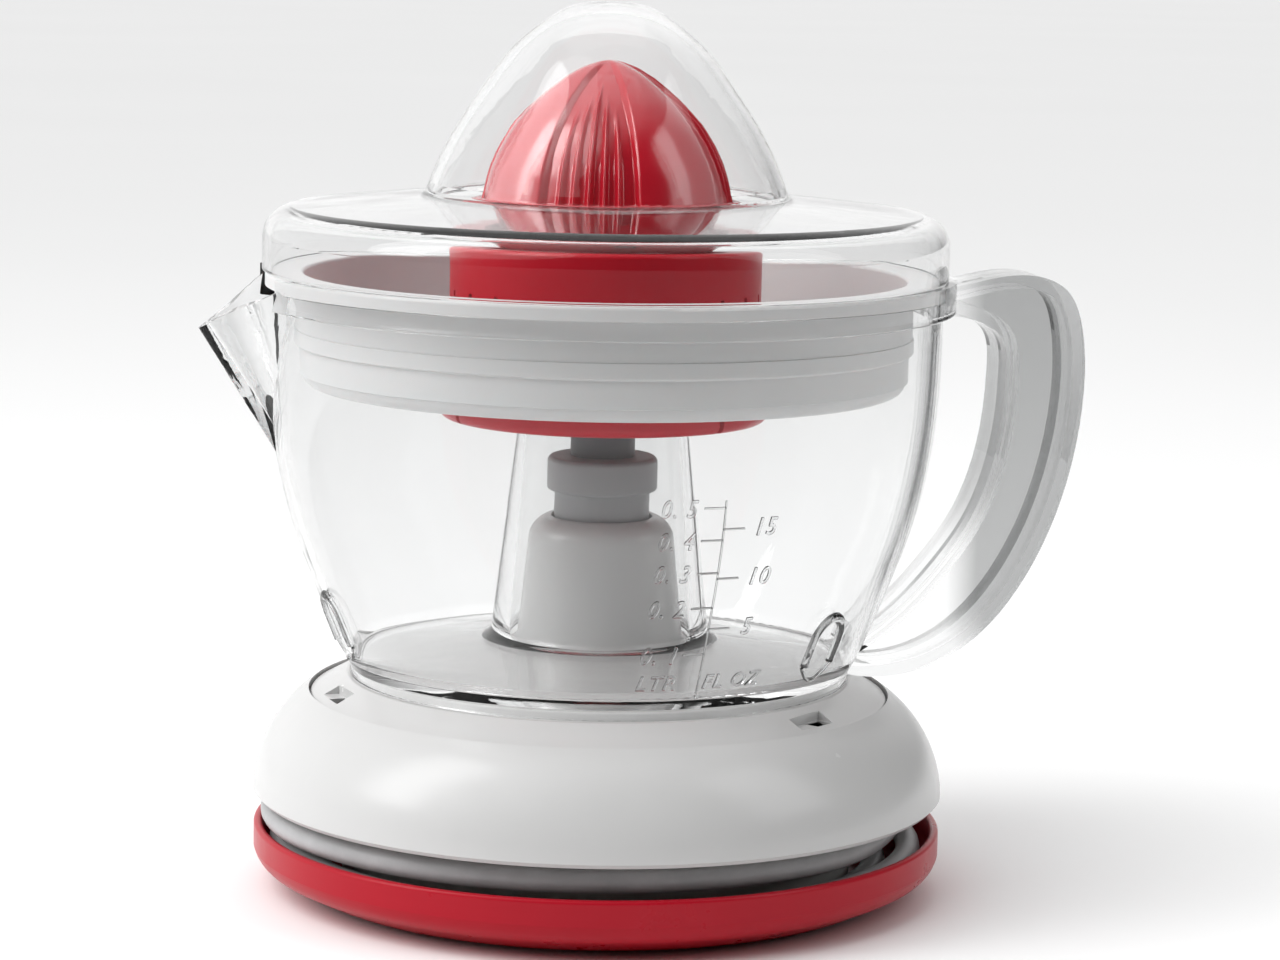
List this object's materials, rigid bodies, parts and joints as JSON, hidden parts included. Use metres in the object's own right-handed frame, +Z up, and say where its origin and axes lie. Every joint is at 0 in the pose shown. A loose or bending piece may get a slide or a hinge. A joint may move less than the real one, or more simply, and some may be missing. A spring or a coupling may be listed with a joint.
{
  "type": "citrus press juicer",
  "caption": "Electric citrus press: motor base with wound cord, clear jug with spout and handle, pulp basket, strainer, ribbed reamer and domed lid.",
  "frame": {"origin": "on the spindle axis, in the plane of the foot ring's underside, which stands on the table", "axes": "+Z up along the spindle, +X towards the jug's handle, -X towards its spout, -Y is the front of the base"},
  "size_m": [0.2008, 0.188, 0.2],
  "materials": {
    "white_plastic": "gloss",
    "red_plastic": "gloss",
    "red_reamer_plastic": "gloss, slightly translucent",
    "clear_plastic": "clear, gloss",
    "basket_plastic": "satin",
    "grey_plastic": "satin",
    "dark_plastic": "satin",
    "gear_plastic": "satin",
    "steel": "brushed",
    "bronze": "satin",
    "copper": "enamelled",
    "magnet": "matte",
    "rubber": "matte",
    "cord_sheath": "satin",
    "pin_metal": "bright"
  },
  "bodies": {
    "base": {"bottom_tray": "red_plastic", "foot_ring": "rubber", "tray_screws": "steel", "cord_spool": "grey_plastic", "base_housing": "white_plastic", "top_deck": "white_plastic", "housing_screws": "steel", "stator_core": "steel", "coil_bobbin_right": "grey_plastic", "coil_bobbin_left": "grey_plastic", "winding_right": "copper", "winding_left": "copper", "rotor_bush_lower": "bronze", "rotor_bush_upper": "bronze", "gearbox_plate": "steel", "gearbox_screws": "steel", "gearbox_cover": "grey_plastic", "cover_screws": "steel", "idler_axle": "steel", "spindle_foot_bush": "gear_plastic", "spindle_bush_lower": "gear_plastic", "spindle_bush_upper": "gear_plastic", "thrust_washer": "steel", "spindle_seal": "rubber", "microswitch_body": "grey_plastic", "cord_grommet": "rubber", "cord_end": "cord_sheath", "cord_clamp": "grey_plastic", "lead_wires": "cord_sheath", "cord_coil": "cord_sheath", "cord_tail": "cord_sheath", "plug_boot": "cord_sheath", "mains_plug": "cord_sheath", "plug_pins": "pin_metal"},
    "drive_wheel": {"drive_gear": "gear_plastic", "return_spring": "steel"},
    "spindle": {"spindle_shaft": "steel", "drive_coupling": "grey_plastic", "spindle_clip": "steel"},
    "idler": {"idler_gear": "gear_plastic"},
    "rotor": {"rotor_magnet": "magnet", "rotor_shaft": "steel", "rotor_pinion": "gear_plastic"},
    "plunger": {"switch_plunger": "gear_plastic"},
    "reamer_hub": {"reamer_shaft": "dark_plastic", "reamer_core": "red_reamer_plastic"},
    "large_cone": {"reamer_cone": "red_reamer_plastic"},
    "jug_body": {"jug": "clear_plastic"},
    "basket": {"pulp_basket": "basket_plastic"},
    "strainer": {"strainer_dome": "red_reamer_plastic", "pulp_ring": "red_reamer_plastic"},
    "cover_lid": {"lid": "clear_plastic"}
  },
  "joints": [
    {"name": "drive_gear_spin", "type": "hinge", "parent": "base", "child": "drive_wheel", "pos_m": [0, 0, 0], "axis": [0, 0, 1], "continuous": true},
    {"name": "idler_spin", "type": "hinge", "parent": "base", "child": "idler", "pos_m": [0.02381, 0.01621, 0], "axis": [0, 0, 1], "continuous": true},
    {"name": "rotor_spin", "type": "hinge", "parent": "base", "child": "rotor", "pos_m": [0, 0.022, 0], "axis": [0, 0, 1], "continuous": true},
    {"name": "spindle_press", "type": "slide", "parent": "drive_wheel", "child": "spindle", "axis": [0, 0, 1], "range_m": [-0.0025, 0], "stiffness_N_per_m": 1500, "springref_m": 0.003, "deforming": ["return_spring"]},
    {"name": "switch_press", "type": "slide", "parent": "base", "child": "plunger", "axis": [0, 0, 1], "range_m": [-0.0025, 0]},
    {"name": "jug_lift", "type": "slide", "parent": "base", "child": "jug_body", "axis": [0, 0, 1], "range_m": [0, 0.12]},
    {"name": "reamer_lift", "type": "slide", "parent": "spindle", "child": "reamer_hub", "axis": [0, 0, 1], "range_m": [0, 0.12]},
    {"name": "basket_lift", "type": "slide", "parent": "jug_body", "child": "basket", "axis": [0, 0, 1], "range_m": [0, 0.08]},
    {"name": "cone_lift", "type": "slide", "parent": "reamer_hub", "child": "large_cone", "axis": [0, 0, 1], "range_m": [0, 0.08]},
    {"name": "lid_lift", "type": "slide", "parent": "basket", "child": "cover_lid", "axis": [0, 0, 1], "range_m": [0, 0.09]},
    {"name": "strainer_turn", "type": "hinge", "parent": "basket", "child": "strainer", "pos_m": [0, 0, 0], "axis": [0, 0, 1], "range_deg": [0, 20]}
  ],
  "couplings": [
    {"joint": "idler_spin", "follows": "rotor_spin", "ratio": -0.16667},
    {"joint": "drive_gear_spin", "follows": "rotor_spin", "ratio": 0.026882},
    {"joint": "switch_press", "follows": "spindle_press", "ratio": 1},
    {"joint": "reamer_lift", "follows": "jug_lift", "ratio": 1},
    {"joint": "cone_lift", "follows": "basket_lift", "ratio": 1}
  ]
}
